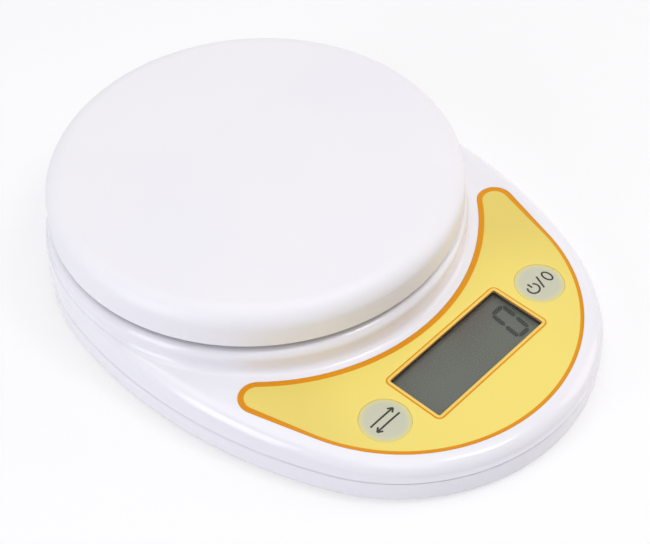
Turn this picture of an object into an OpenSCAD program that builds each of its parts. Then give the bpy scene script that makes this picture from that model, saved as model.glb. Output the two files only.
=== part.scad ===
// Digital kitchen scale: round weighing platform on an egg-shaped two-part shell, with a
// crescent control panel, display and two press keys in front of the platform.
// Modelled from the floor up in millimetres. +Z is up, the panel faces -Y.

/* [Weighing platform] */
// Diameter of the round weighing platform
platform_d = 155; // [145:1:156]
// Height of the platform's top face above the floor
platform_top = 47; // [46:0.5:50]
// Depth of the platform's rim, top face to lower edge
platform_rim = 14.7; // [14:0.1:15.5]
// Thickness of the platform's plate and rim
platform_wall = 2.4; // [2:0.1:2.8]
// Radius of the rounded top edge of the platform
platform_edge = 7.5; // [4:0.5:8]
// Travel of the platform at full load
platform_travel = 0.5; // [0.3:0.05:0.6]

/* [Shell outline] */
// Radius of the shell's round back, at the underside
back_r = 80; // [79:0.5:82]
// Distance from the platform's axis to the front of the shell, at the underside
front_reach = 143; // [142:0.5:150]
// Radius of the shell's rounded front
front_r = 74; // [73:0.5:76]
// Radius of the long flank arcs between front and back
side_r = 185; // [180:5:230]
// How far the shell flares out between its underside and its seam
flare = 0.2; // [0.1:0.1:0.8]
// How far the upper shell's side wall leans in between the seam and its rounding
lean = 0.8; // [0.3:0.1:0.9]

/* [Shell heights] */
// Clearance between the shell's underside and the floor
foot_gap = 1; // [0.8:0.1:1.5]
// Height of the seam between base and upper shell
seam_z = 10.5; // [10:0.1:11]
// Visible groove between the two shells
seam_groove = 0.3; // [0.1:0.1:0.5]
// Radius of the base's rounded bottom edge
bottom_r = 1.8; // [1.5:0.1:2]
// Wall thickness of both shells
wall = 2.2; // [2:0.1:2.4]
// Width of the rounding between side wall and deck
round_w = 5.4; // [4:0.1:5.6]
// Height of the rounding between side wall and deck
round_h = 4.8; // [3.5:0.1:5]
// How far the raised drum under the platform stands inside the shell's round back
drum_in = 1.4; // [1.3:0.1:4]
// Gap between the drum's top and the platform's lower edge
drum_gap = 2.9; // [2:0.1:3.2]
// Share of the drum's height over the deck that its rounded top edge takes
drum_edge_share = 0.52; // [0.3:0.02:0.54]
// Share of the drum's height over the deck that the hollow sweep at its foot takes
sweep_share = 0.44; // [0.2:0.02:0.44]

/* [Panel] */
// Distance from the platform's axis to the middle of the display window
panel_y = 101.6; // [101:0.1:103]
// Height of the panel at the middle of the display window
panel_z = 18.2; // [18:0.1:19]
// Rise of the deck towards the platform, degrees
deck_tilt = 2.5; // [1.5:0.1:3]
// Radius of the crescent's inner edge, around the platform's axis
crescent_in = 82.9; // [82:0.1:84]
// Radius of the crescent's front edge
crescent_front = 67.2; // [66:0.2:68]
// Reach of the crescent's front edge from the platform's axis
crescent_reach = 135.8; // [134:0.1:136]
// Radius of the crescent's two rounded horns
horn_r = 7; // [5:0.5:7]
// Direction of the horns, degrees below the X axis
horn_angle = 43.8; // [42:0.2:46]
// Thickness of the printed overlay film
film_t = 0.4; // [0.3:0.05:0.5]

/* [Display] */
// Width of the display window
window_w = 57.9; // [54:0.1:60]
// Depth of the display window, front to back
window_d = 23; // [21:0.1:24]
// Thickness of the clear window plate
window_t = 0.8; // [0.6:0.1:0.9]
// Thickness of the display glass
glass_t = 2.8; // [2.2:0.1:3]
// Margin of the display glass around the window
glass_margin = 4; // [3:0.1:4.2]

/* [Keys] */
// Distance of each key from the middle of the panel
key_x = 42.6; // [42.4:0.1:44]
// Radius of the round keys' openings
key_r = 9.3; // [7:0.1:9.4]
// Gap between a key and its opening, all round
key_gap = 0.1; // [0.1:0.05:0.2]
// Travel of a key
key_travel = 0.5; // [0.3:0.1:0.5]
// How far the crowned key stands above the panel at its middle
key_crown = 0.4; // [0.3:0.1:1]

/* [Load cell] */
// Length of the aluminium beam
beam_l = 80; // [78:1:84]
// Height and width of the beam
beam_w = 12.7; // [12:0.1:13]
// Height of the beam's underside
beam_z = 8.7; // [8.2:0.1:9.2]
// Distance between the two screws at each end of the beam
beam_pitch = 15; // [14:0.5:16]
// Length at each end of the beam that is clamped
clamp_l = 26.5; // [26:0.1:27]
// Radius of the beam screws
beam_screw_r = 2; // [1.5:0.1:2.2]

/* [Battery bay] */
// Diameter of one cell
cell_d = 14.5; // [14:0.1:14.5]
// Length of one cell with its button
cell_l = 50.5; // [49:0.1:50.5]
// Length of the pressed spring at the flat end of a cell
spring_l = 3; // [2.5:0.1:3.5]
// Distance from the platform's axis to the bay's front wall
bay_y = 22.6; // [21:0.1:23]
// Thickness of the battery door
door_t = 1.8; // [1.6:0.1:2]

/* [Feet and screws] */
// Radius of a rubber foot
foot_r = 6; // [5:0.5:7]
// Thickness of a rubber foot
foot_t = 2.2; // [2:0.1:2.2]
// Radius of the shell screws
shell_screw_r = 1.4; // [1.2:0.1:1.5]
// Length of the shell screws under the head
shell_screw_l = 8.5; // [7:0.5:8.5]

/* [Hidden] */

// Steps round the shell, a multiple of 4 so that both axes fall on a step
steps = 96;
$fn = 96;
// Smallest fit between a pin or screw and its hole
snug = 0.05;
// Fit between loose pieces
fit = 0.25;
// Overshoot of a cut past the face it opens
cut = 1;

// The model's origin is the middle of its footprint, so the platform's axis stands behind it
axis_y = (front_reach - back_r) / 2;
module placed() translate([0, axis_y, 0]) children();

// Egg outline: a back arc about the platform's axis, a front arc and two flank arcs that run
// into both. d is the distance inside the outline at the seam.
seam_back = back_r + flare;
seam_front = front_r + flare;
seam_side = side_r + flare;
drum_r = seam_back - drum_in;
front_c = [0, front_r - front_reach];
to_back = side_r - back_r;
to_front = side_r - front_r;
flank_dy = (to_front ^ 2 - to_back ^ 2 + front_c.y ^ 2) / (2 * -front_c.y);
flank_c = [-sqrt(to_front ^ 2 - flank_dy ^ 2), front_c.y + flank_dy];
function unit(v) = v / norm(v);
function polar(p) = atan2(p.y, p.x);
function ray(c, r, u) = c * u + sqrt((c * u) ^ 2 - c * c + r ^ 2);
function reach(t, d) =
    let(
        u = [abs(cos(t)), sin(t)],
        a = polar(u),
        back_join = polar(flank_c + (seam_side - d) * unit(-flank_c)),
        front_join = polar(flank_c + (seam_side - d) * unit(front_c - flank_c))
    )
    a >= back_join ? seam_back - d
        : a >= front_join ? ray(flank_c, seam_side - d, u)
        : ray(front_c, seam_front - d, u);

// Heights of the shells
base_z = foot_gap;
floor_z = base_z + wall;
upper_z = seam_z + seam_groove;
rim_z = platform_top - platform_rim;
drum_top = rim_z - drum_gap;
function deck_at(y) = panel_z + tan(deck_tilt) * (min(y, 0) + panel_y);
drum_h = drum_top - deck_at(0);
drum_edge = drum_edge_share * drum_h;
sweep_r = sweep_share * drum_h;

// A closed shell whose section at each direction t is the list sections[i] of [radius, height],
// from a point on the axis outwards and back to a point on the axis
module lofted(sections, first_z, last_z) {
    n = len(sections[0]);
    count = len(sections);
    points = [
        for (i = [0:count - 1], p = sections[i])
            let(t = 360 * i / count) [p[0] * cos(t), p[0] * sin(t), p[1]],
        [0, 0, first_z],
        [0, 0, last_z]
    ];
    function id(i, j) = (i % count) * n + j;
    walls = [
        for (i = [0:count - 1], j = [0:n - 2])
            each [[id(i, j), id(i + 1, j), id(i + 1, j + 1)], [id(i, j), id(i + 1, j + 1), id(i, j + 1)]]
    ];
    ends = [
        for (i = [0:count - 1])
            each [[count * n, id(i + 1, 0), id(i, 0)], [count * n + 1, id(i, n - 1), id(i + 1, n - 1)]]
    ];
    polyhedron(points, concat(walls, ends), convexity = 10);
}

// Section of the upper shell at direction t: drum, hollow sweep, deck, rounding and side wall.
// Where the shell is narrow round the drum, each takes its share of the room there.
in_bend = max(drum_edge - wall, 0.1);
function upper_section(t) =
    let(
        room = reach(t, 0) - drum_r,
        tip = min(lean, 0.1 * room),
        rw = min(round_w, 0.5 * room),
        sw = min(sweep_r, 0.35 * room),
        deck_z = deck_at(reach(t, tip + rw) * sin(t)),
        foot_z = deck_at((drum_r + sw) * sin(t)),
        in_w = tip + max(rw, wall + 0.8),
        in_z = deck_at(reach(t, in_w) * sin(t)) - wall,
        in_r = min(drum_r + sw, reach(t, in_w) - 0.2)
    )
    [
        for (a = [90:-22.5:0]) [drum_r - drum_edge * (1 - cos(a)), drum_top - drum_edge * (1 - sin(a))],
        for (a = [0:18:90]) [drum_r + sw * (1 - cos(a)), foot_z + sweep_r * (1 - sin(a))],
        for (a = [90:-15:0]) [reach(t, tip + rw * (1 - cos(a))), deck_z - round_h * (1 - sin(a))],
        [reach(t, 0), upper_z],
        [reach(t, wall), upper_z],
        [reach(t, wall), seam_z + lip_h + 0.1],
        [reach(t, tip + wall), deck_z - round_h],
        [reach(t, in_w - 0.7 * (in_w - tip - wall)), in_z - 0.3 * (round_h - wall)],
        [reach(t, in_w), in_z],
        for (a = [90:-22.5:0])
            [in_r - (in_r - drum_r + wall) * cos(a), foot_z + sweep_r - (sweep_r + wall) * sin(a)],
        for (a = [0:45:90])
            [drum_r - wall - in_bend * (1 - cos(a)), drum_top - wall - in_bend * (1 - sin(a))]
    ];

// Section of the base at direction t: floor, wall, seam lip and rounded bottom edge
lip_out = wall + fit;
lip_in = lip_out + 1.1;
lip_h = 0.7;
base_corner = 1.2;
lip_root = 1.5;
function base_section(t) =
    [
        [reach(t, flare + wall + base_corner), floor_z],
        [reach(t, flare + wall), floor_z + base_corner],
        [reach(t, wall + flare * 0.3), seam_z - 2 * lip_root],
        [reach(t, lip_in), seam_z - lip_root],
        [reach(t, lip_in), seam_z + lip_h],
        [reach(t, lip_out), seam_z + lip_h],
        [reach(t, lip_out), seam_z],
        [reach(t, 0), seam_z],
        for (a = [0:30:90])
            [reach(t, flare + bottom_r * (1 - cos(a))), base_z + bottom_r * (1 - sin(a))]
    ];

// A rectangle with rounded corners, centred
module round_rect(w, h, r) {
    square([w - 2 * r, h], center = true);
    square([w, h - 2 * r], center = true);
    for (x = [-1, 1], y = [-1, 1]) translate([x * (w / 2 - r), y * (h / 2 - r)]) circle(r);
}

// Places of what is fastened: [x, y] from the platform's axis
shell_posts = [[0, -128], [66, -72], [-66, -72], [50, 44], [-50, 44]];
feet = [[52, -98], [-52, -98], [60, 18], [-60, 18]];
post_z = 9.5;
post_r = 3.4;
well_r = 3.1;
well_h = 5;

// The panel's own frame: x across, y up the panel, z out of it, with its middle at the origin
module on_panel() placed() translate([0, -panel_y, panel_z]) rotate([deck_tilt, 0, 0]) children();
function panel_point(p) =
    [
        p.x,
        -panel_y + p.y * cos(deck_tilt) - p.z * sin(deck_tilt),
        panel_z + p.y * sin(deck_tilt) + p.z * cos(deck_tilt)
    ];

// Crescent outline of the panel, grown by grow
horn_c = (crescent_in + horn_r) * [cos(horn_angle), -sin(horn_angle)];
crescent_c = [0, crescent_front - crescent_reach];
horn_turn = polar(horn_c - crescent_c) - acos((crescent_front - horn_r) / norm(horn_c - crescent_c));
function arc(c, r, a, b, n) = [for (i = [0:n]) let(t = a + (b - a) * i / n) c + r * [cos(t), sin(t)]];
function crescent_half(grow) =
    concat(
        arc(crescent_c, crescent_front + grow, -90, horn_turn, 24),
        arc(horn_c, horn_r + grow, horn_turn, 180 - horn_angle, 12),
        arc([0, 0], crescent_in - grow, -horn_angle, -90, 16)
    );
module crescent(grow) {
    half = crescent_half(grow);
    n = len(half);
    translate([0, panel_y]) polygon(concat(half, [for (i = [n - 2:-1:1]) [-half[i].x, half[i].y]]));
}

// Panel stack, heights in the panel's frame
seat_lip = 1;
flange_gap = 0.1;
flange_w = 0.6;
flange_t = 0.8;
flange_z = -wall - flange_gap - flange_t;
glass_top = -wall - 0.2;
glass_w = window_w + 2 * 2.2;
glass_d = window_d + 2 * glass_margin;
frame_wall = 1.2;
switch_h = 3.5;
switch_w = 6;
switch_floor = 1.2;
plunger_r = 1.7;
plunger_room = key_travel + 0.3;
plunger_out = plunger_room;
board_top = flange_z - plunger_out - switch_h;
board_t = 1.6;
board_bottom = board_top - board_t;
keys_y = 1.1;
board_posts = [[41, 15], [-41, 15], [41, -14], [-41, -14]];
board_screw_r = 0.95;

module upper_shell() {
    color("white") difference() {
        union() {
            placed() lofted(
                [for (i = [0:steps - 1]) upper_section(360 * i / steps)], drum_top, drum_top - wall
            );
            placed() for (p = shell_posts) {
                under = norm(p) < drum_r ? drum_top : deck_at(p.y);
                translate([p.x, p.y, post_z]) cylinder(r = post_r, h = under - wall / 2 - post_z);
            }
            on_panel() for (p = board_posts)
                translate([p.x, p.y, board_top]) cylinder(r = 2.5, h = -board_top - wall / 2);
        }
        on_panel() {
            translate([0, 0, -film_t]) linear_extrude(film_t + cut) crescent(0.1);
            translate([0, 0, -wall - cut]) linear_extrude(wall + 2 * cut) round_rect(window_w, window_d, 1);
            translate([0, 0, -film_t - window_t])
                linear_extrude(window_t + cut) round_rect(window_w + 2 * seat_lip, window_d + 2 * seat_lip, 1.5);
            for (x = [-key_x, key_x])
                translate([x, keys_y, -wall - cut]) cylinder(r = key_r, h = wall + 2 * cut);
            for (p = board_posts)
                translate([p.x, p.y, board_top - cut]) cylinder(r = board_screw_r + snug, h = cut + 4.2);
        }
        placed() {
            for (p = shell_posts)
                translate([p.x, p.y, post_z - cut])
                    cylinder(r = shell_screw_r + snug, h = cut + well_h + shell_screw_l - post_z);
            translate([foot_x, 0, drum_top - wall - cut])
                linear_extrude(wall + 2 * cut) round_rect(foot_l + 2 * foot_room, foot_w + 2 * foot_room, 3);
        }
    }
}

// Platform and the carrier under it
plate_under = platform_top - platform_wall;
carrier_r = 58;
carrier_h = 9;
carrier_z = plate_under - carrier_h;
carrier_t = 2.4;
carrier_wall = 2;
clip_gap = 0.6;
clip_t = 1.8;
clip_under = 1.1;
clip_turn = 16;
rib_w = 1.6;
rib_h = 1.2;
foot_over = 1.5;
foot_l = clamp_l + foot_over;
foot_x = beam_l / 2 + foot_over - foot_l / 2;
foot_w = 16;
foot_room = 2.5;
beam_top = beam_z + beam_w;
screw_in = 20;
near_screw = beam_l / 2 - screw_in;
screw_xs = [near_screw, near_screw + beam_pitch];
carrier_seat = beam_top + 4.6;

module weighing_platform() {
    r = platform_d / 2;
    flat_r = r - platform_edge;
    edge_z = platform_top - platform_edge;
    color("white") placed() {
        rotate_extrude() difference() {
            union() {
                translate([0, rim_z]) square([r, platform_rim - platform_edge]);
                translate([0, rim_z]) square([flat_r, platform_rim]);
                translate([flat_r, edge_z]) circle(platform_edge);
            }
            translate([0, rim_z - cut]) square([r - platform_wall, edge_z - rim_z + cut]);
            translate([0, rim_z - cut]) square([flat_r, plate_under - rim_z + cut]);
            translate([flat_r, edge_z]) circle(platform_edge - platform_wall);
        }
        for (rib = [carrier_r / 2, flat_r - 2]) translate([0, 0, plate_under - rib_h]) difference() {
            cylinder(r = rib + rib_w / 2, h = rib_h + platform_wall / 2);
            translate([0, 0, -cut]) cylinder(r = rib - rib_w / 2, h = 4 * cut + platform_wall);
        }
        for (k = [0:3]) rotate(45 + 90 * k - clip_turn / 2) rotate_extrude(angle = clip_turn) {
            translate([carrier_r + clip_gap, carrier_z - clip_under])
                square([clip_t, carrier_h + platform_wall / 2 + clip_under]);
            translate([carrier_r - 1, carrier_z - clip_under]) square([clip_gap + clip_t, 0.9]);
        }
    }
}

module platform_carrier() {
    spoke_h = 0.6 * carrier_h;
    color("gainsboro") placed() difference() {
        union() {
            translate([0, 0, carrier_z]) cylinder(r = carrier_r, h = carrier_t);
            translate([0, 0, carrier_z]) difference() {
                cylinder(r = carrier_r, h = carrier_h);
                translate([0, 0, carrier_t / 2]) cylinder(r = carrier_r - carrier_wall, h = platform_top);
            }
            for (k = [0:2]) rotate(60 * k)
                translate([carrier_wall / 2 - carrier_r, -carrier_wall / 2, carrier_z + carrier_t / 2])
                    cube([2 * carrier_r - carrier_wall, carrier_wall, spoke_h]);
            translate([foot_x - foot_l / 2, -foot_w / 2, beam_top])
                cube([foot_l, foot_w, carrier_z + carrier_t / 2 - beam_top]);
        }
        for (x = screw_xs) translate([x, 0, 0]) {
            translate([0, 0, beam_top - cut]) cylinder(r = beam_screw_r + 0.2, h = platform_top);
            translate([0, 0, carrier_seat]) cylinder(r = beam_screw_r + 2.1, h = platform_top);
        }
    }
}

// A pan-head screw, head up, with its seat at the origin and a cross recess in the head
module screw(r, l, head_r, head_h) {
    difference() {
        union() {
            translate([0, 0, -l]) cylinder(r = r, h = l);
            cylinder(r = head_r, h = head_h);
        }
        for (a = [0, 90]) rotate(a) translate([-head_r * 0.6, -head_r * 0.12, head_h * 0.4])
            cube([head_r * 1.2, head_r * 0.24, head_h]);
    }
}

module carrier_screws() {
    screw_l = 14;
    color("silver") placed() for (x = screw_xs)
        translate([x, 0, carrier_seat]) screw(beam_screw_r, screw_l, beam_screw_r + 1.5, 2.6);
}

// Load cell: its root is screwed to a boss of the base, its free end carries the platform.
// Two round holes and the slot between them leave thin places, under and over each hole.
boss_top = beam_z;
boss_seat = base_z + 3.6;
boss_l = clamp_l + foot_over;
boss_w = 18;
free_half = beam_l / 2 - clamp_l;
thin_x = 0.56 * free_half;
hole_r = beam_w / 2 - 1.45;
module load_cell() {
    mid = beam_z + beam_w / 2;
    color("lightgray") placed() difference() {
        translate([-beam_l / 2, -beam_w / 2, beam_z]) cube([beam_l, beam_w, beam_w]);
        for (x = [-thin_x, thin_x])
            translate([x, beam_w, mid]) rotate([90, 0, 0]) cylinder(r = hole_r, h = 2 * beam_w);
        translate([-thin_x, -beam_w, mid - hole_r / 3]) cube([2 * thin_x, 2 * beam_w, hole_r / 1.5]);
        for (s = [-1, 1], x = screw_xs)
            translate([s * x, 0, beam_z - cut]) cylinder(r = beam_screw_r + snug, h = beam_w + 2 * cut);
    }
}
module load_cell_screws() {
    color("silver") placed() for (x = screw_xs)
        translate([-x, 0, boss_seat]) mirror([0, 0, 1]) screw(beam_screw_r, 12, beam_screw_r + 1.5, 2.4);
}

// Strain gauges over and under the two thin places of the beam, and the sealant on them
gauge_t = 0.2;
gauge_l = 6;
gauge_w = 4;
seal_t = 1.4;
seal_half = free_half - 1;
seal_w = 10;
module gauge_boxes(t) {
    for (x = [-thin_x, thin_x], z = [beam_top, beam_z - t])
        translate([x - gauge_l / 2, -gauge_w / 2, z]) cube([gauge_l, gauge_w, t]);
}
module strain_gauges() color("peru") placed() gauge_boxes(gauge_t);
module gauge_sealant() {
    color("white") placed() difference() {
        for (z = [beam_top, beam_z - seal_t])
            translate([-seal_half, -seal_w / 2, z]) cube([2 * seal_half, seal_w, seal_t]);
        gauge_boxes(gauge_t);
    }
}

// Battery bay, heights and places
plate_t = 0.4;
cell_r = cell_d / 2;
cell_gap = 0.5;
pack_l = cell_l + spring_l + 2 * plate_t;
cell_ys = [bay_y + cell_r + 0.35, bay_y + cell_r + 0.35 + cell_d + cell_gap];
cell_z = base_z + door_t + 0.3 + cell_r;
bay_back = cell_ys[1] + cell_r + 0.85;
bay_top = cell_z + cell_r + 0.3;
bay_wall = 2.6;
hinge_r = 1.6;
pin_r = 0.9;
pin_l = 1.8;
hinge = [bay_back - fit - hinge_r, base_z + hinge_r];
// The door lies on a ledge round the bay, as far back as its neck at the hinge
door_ledge = 1;
neck_y = hinge.x - 3;
tab_z = cell_z + 3.8;
tab_w = 3;
tab_l = bay_wall + 1.5;

module base_shell() {
    color("white") placed() difference() {
        union() {
            lofted([for (i = [0:steps - 1]) base_section(360 * i / steps)], floor_z, base_z);
            for (p = shell_posts) translate([p.x, p.y, base_z + wall / 2])
                cylinder(r = well_r + 1.1, h = post_z - base_z - wall / 2);
            translate([-beam_l / 2 - foot_over, -boss_w / 2, base_z + wall / 2])
                cube([boss_l, boss_w, boss_top - base_z - wall / 2]);
            translate([near_screw + beam_pitch, 0, base_z + wall / 2])
                cylinder(r = 4, h = beam_z - platform_travel - fit - base_z - wall / 2);
            translate([-pack_l / 2 - bay_wall, bay_y - bay_wall, base_z + wall / 2])
                cube([pack_l + 2 * bay_wall, bay_back - bay_y + 2 * bay_wall, bay_top + 1.4 - base_z - wall / 2]);
        }
        for (p = shell_posts) translate([p.x, p.y, 0]) {
            translate([0, 0, -cut]) cylinder(r = well_r, h = well_h + cut);
            cylinder(r = shell_screw_r + 0.3, h = post_z + cut);
        }
        for (p = feet) translate([p.x, p.y, -cut]) cylinder(r = foot_r + snug, h = foot_t + cut);
        for (x = screw_xs) translate([-x, 0, 0]) {
            translate([0, 0, -cut]) cylinder(r = beam_screw_r + 2, h = boss_seat + cut);
            cylinder(r = beam_screw_r + 0.2, h = boss_top + cut);
        }
        translate([-pack_l / 2, bay_y, -cut]) cube([pack_l, bay_back - bay_y, bay_top + cut]);
        translate([-pack_l / 2 - door_ledge, bay_y - door_ledge, -cut])
            cube([pack_l + 2 * door_ledge, neck_y + 2 * fit - bay_y + door_ledge, base_z + door_t + 0.1 + cut]);
        translate([-pack_l / 2 - pin_l, hinge.x, hinge.y]) rotate([0, 90, 0])
            cylinder(r = pin_r + snug, h = pack_l + 2 * pin_l);
        for (y = cell_ys) translate([-pack_l / 2 - bay_wall - cut, y - tab_w / 2 - 0.1, tab_z - 0.35])
            cube([bay_wall + 2 * cut, tab_w + 0.2, 0.7]);
        translate([-8, bay_y - 9, base_z - cut]) cube([16, 10, cut + 1.1]);
    }
}

module battery_door() {
    wide = pack_l + 2 * door_ledge - 2 * fit;
    narrow = pack_l - 2 * fit;
    front = bay_y - door_ledge + fit;
    color("whitesmoke") placed() {
        difference() {
            union() {
                translate([-wide / 2, front, base_z]) cube([wide, neck_y - front, door_t]);
                translate([-narrow / 2, front, base_z]) cube([narrow, hinge.x - front, door_t]);
            }
            translate([-6, bay_y - 1, base_z - cut]) cube([12, 3, cut + 0.7]);
            for (k = [0:4]) translate([-5, bay_y + 4 + 1.6 * k, base_z - cut]) cube([10, 0.8, cut + 0.4]);
        }
        translate([fit - pack_l / 2, hinge.x, hinge.y]) rotate([0, 90, 0])
            cylinder(r = hinge_r, h = pack_l - 2 * fit);
        translate([fit - pack_l / 2 - pin_l, hinge.x, hinge.y]) rotate([0, 90, 0])
            cylinder(r = pin_r, h = pack_l - 2 * fit + 2 * pin_l);
    }
}

// One cell along +X with its flat end at the origin
module cell() {
    nub = 1.3;
    rotate([0, 90, 0]) {
        cylinder(r = cell_r, h = cell_l - nub);
        cylinder(r = 2.75, h = cell_l);
    }
}
module each_cell() {
    for (k = [0, 1]) translate([0, cell_ys[k], cell_z]) rotate(180 * k)
        translate([plate_t + spring_l - pack_l / 2, 0, 0]) children();
}
module battery_cells() color("dimgray") placed() each_cell() cell();

// A tube of radius r round the points of path, its section carried along without twist
sides = 8;
function tangents(path) =
    let(n = len(path))
    [for (i = [0:n - 1]) unit(path[min(i + 1, n - 1)] - path[max(i - 1, 0)])];
function carried(v, t) = unit(v - (v * t) * t);
function normals(ts, i, v) =
    let(w = carried(v, ts[i]))
    i == len(ts) - 1 ? [w] : concat([w], normals(ts, i + 1, w));
module tube(path, r, first_normal) {
    n = len(path);
    ts = tangents(path);
    ns = normals(ts, 0, first_normal);
    points = [
        for (i = [0:n - 1], k = [0:sides - 1])
            let(a = 360 * k / sides, b = cross(ts[i], ns[i])) path[i] + r * (cos(a) * ns[i] + sin(a) * b)
    ];
    function id(i, k) = i * sides + k % sides;
    walls = [
        for (i = [0:n - 2], k = [0:sides - 1])
            each [[id(i, k), id(i + 1, k), id(i + 1, k + 1)], [id(i, k), id(i + 1, k + 1), id(i, k + 1)]]
    ];
    first = [for (k = [0:sides - 1]) id(0, k)];
    last = [for (k = [sides - 1:-1:0]) id(n - 1, k)];
    polyhedron(points, concat(walls, [first, last]), convexity = 10);
}

// Points of a smooth curve through the route's points
function smooth(route, cuts) =
    let(n = len(route))
    [
        for (i = [0:n - 2], j = [0:cuts - 1])
            let(
                p0 = route[max(i - 1, 0)],
                p1 = route[i],
                p2 = route[i + 1],
                p3 = route[min(i + 2, n - 1)],
                s = j / cuts
            )
            0.5 * (2 * p1 + (p2 - p0) * s + (2 * p0 - 5 * p1 + 4 * p2 - p3) * s ^ 2
                + (3 * p1 - p0 - 3 * p2 + p3) * s ^ 3),
        route[n - 1]
    ];

// Cone springs that press on the cells' flat ends
spring_wire = 0.35;
spring_turns = 3;
module battery_springs() {
    turn_steps = 14;
    last = spring_turns * turn_steps;
    span = spring_l - 2 * spring_wire - 0.1;
    path = [
        for (i = [0:last])
            let(s = i / last, r = 4.2 - 1.4 * s, a = 360 * i / turn_steps)
            [span * (s - 1) - spring_wire - 0.05, r * cos(a), r * sin(a)]
    ];
    color("silver") placed() each_cell() tube(path, spring_wire, [0, 1, 0]);
}
module battery_plates() {
    half = pack_l / 2;
    w = 0.7 * cell_d;
    color("silver") placed() {
        translate([half - plate_t, cell_ys[0] - w / 2, cell_z - w / 2])
            cube([plate_t, cell_ys[1] - cell_ys[0] + w, w]);
        for (y = cell_ys) {
            translate([-half, y - w / 2, cell_z - w / 2]) cube([plate_t, w, w]);
            translate([-half - tab_l, y - tab_w / 2, tab_z - plate_t / 2]) cube([tab_l + plate_t, tab_w, plate_t]);
        }
    }
}

// Two insulated wires from the bay's tabs and four fine ones from the gauges, to the board
battery_wire_r = 0.7;
gauge_wire_r = 0.45;
wire_pitch = 1.3;
tab_x = -pack_l / 2 - tab_l;
wire_end_y = 15.5;
// The battery wires pass round the end of the beam's boss, in two lanes
lane = -beam_l / 2 - 7;
lane_2 = lane - 4;
function to_board(x) =
    [for (h = [2.2, 1.1, 0]) panel_point([x, wire_end_y, board_bottom - h])];
battery_routes = [
    concat(
        [[tab_x, cell_ys[0], tab_z], [tab_x - 1, cell_ys[0], tab_z], [tab_x - 2, cell_ys[0], tab_z]],
        [[-39, 27, 12], [lane + 2, 16, 8]],
        [[lane, 0, 5.5], [lane, -30, 5], [lane + 7, -60, 5], [-33, -79, 5]],
        to_board(-30)
    ),
    concat(
        [[tab_x, cell_ys[1], tab_z], [tab_x - 1, cell_ys[1], tab_z], [tab_x - 2, cell_ys[1], tab_z]],
        [[-38, 42, 13], [-43, 34, 6]],
        [[lane_2 + 1, 16, 5], [lane_2, 0, 5], [lane_2, -30, 5], [lane_2 + 7, -60, 5], [-37, -79, 5]],
        to_board(-34)
    )
];
// Each point of the gauge wires' route and the direction in which the four lie side by side
gauge_route = [
    for (back = [0, 1, 2.5]) [[-seal_half - back, 0, beam_top + seal_t / 2], -90],
    [[-21, 0, beam_top + 1.3], -85], [[-28, -4, beam_top + 2], -45], [[-31, -11, beam_top - 0.5], -10],
    [[-32, -14, 14], 0],
    [[-31, -18, 6.5], 0], [[-26, -36, 4.8], 15], [[-15, -62, 4.8], 15], [[-8, -79, 5], 5]
];
function gauge_wire(k) =
    let(side = (k - 1.5) * wire_pitch)
    concat(
        [for (p = gauge_route) p[0] + side * [cos(p[1]), sin(p[1]), 0]],
        to_board(side - 5)
    );
module battery_wires() {
    color("red") placed() for (route = battery_routes) tube(smooth(route, 4), battery_wire_r, [0, 0, 1]);
}
module load_cell_wires() {
    color("white") placed() for (k = [0:3]) tube(smooth(gauge_wire(k), 3), gauge_wire_r, [0, 0, 1]);
}

module shell_screws() {
    color("silver") placed() for (p = shell_posts)
        translate([p.x, p.y, well_h]) mirror([0, 0, 1]) screw(shell_screw_r, shell_screw_l, well_r - 0.4, 1.9);
}
module rubber_feet() {
    color("dimgray") placed() for (p = feet) translate([p.x, p.y, 0]) {
        cylinder(r1 = foot_r - 0.5, r2 = foot_r, h = 0.5);
        translate([0, 0, 0.5]) cylinder(r = foot_r, h = foot_t - 0.5);
    }
}

module panel_overlay() {
    color("khaki") on_panel() translate([0, 0, -film_t]) linear_extrude(film_t) difference() {
        crescent(0);
        round_rect(window_w, window_d, 1);
        for (x = [-key_x, key_x]) translate([x, keys_y]) circle(key_r);
    }
}
module display_window() {
    color("lightcyan", 0.4) on_panel() translate([0, 0, -film_t - window_t])
        linear_extrude(window_t) round_rect(window_w + 2 * seat_lip - 0.1, window_d + 2 * seat_lip - 0.1, 1.4);
}
module display_glass() {
    color("darkseagreen") on_panel() translate([-glass_w / 2, -glass_d / 2, glass_top - glass_t])
        cube([glass_w, glass_d, glass_t]);
}
module display_frame() {
    outer_w = glass_w + 2 * frame_wall;
    outer_d = glass_d + 2 * frame_wall;
    under = glass_top - glass_t;
    color("white") on_panel() difference() {
        translate([-outer_w / 2, -outer_d / 2, board_top]) cube([outer_w, outer_d, glass_top - board_top]);
        translate([-glass_w / 2 - snug, -glass_d / 2 - snug, under])
            cube([glass_w + 2 * snug, glass_d + 2 * snug, glass_t + cut]);
        translate([3 - glass_w / 2, 2 - glass_d / 2, board_top - cut])
            cube([glass_w - 6, glass_d - 4, under - board_top + 2 * cut]);
    }
}
module contact_strip() {
    color("dimgray") on_panel() translate([4 - glass_w / 2, glass_d / 2 - 4.6, board_top])
        cube([glass_w - 8, 2.2, glass_top - glass_t - board_top]);
}
module circuit_board() {
    w = 49;
    front = 17.5;
    back = 18.5;
    notch = 7;
    color("darkgreen") on_panel() translate([0, 0, board_bottom]) linear_extrude(board_t) difference() {
        polygon([
            [-w, -front + notch], [-w + notch, -front], [w - notch, -front],
            [w, -front + notch], [w, back], [-w, back]
        ]);
        for (p = board_posts) translate(p) circle(board_screw_r + 0.2);
    }
}
module board_screws() {
    color("silver") on_panel() for (p = board_posts)
        translate([p.x, p.y, board_bottom]) mirror([0, 0, 1]) screw(board_screw_r, board_t + 4, 1.9, 1.3);
}
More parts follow.
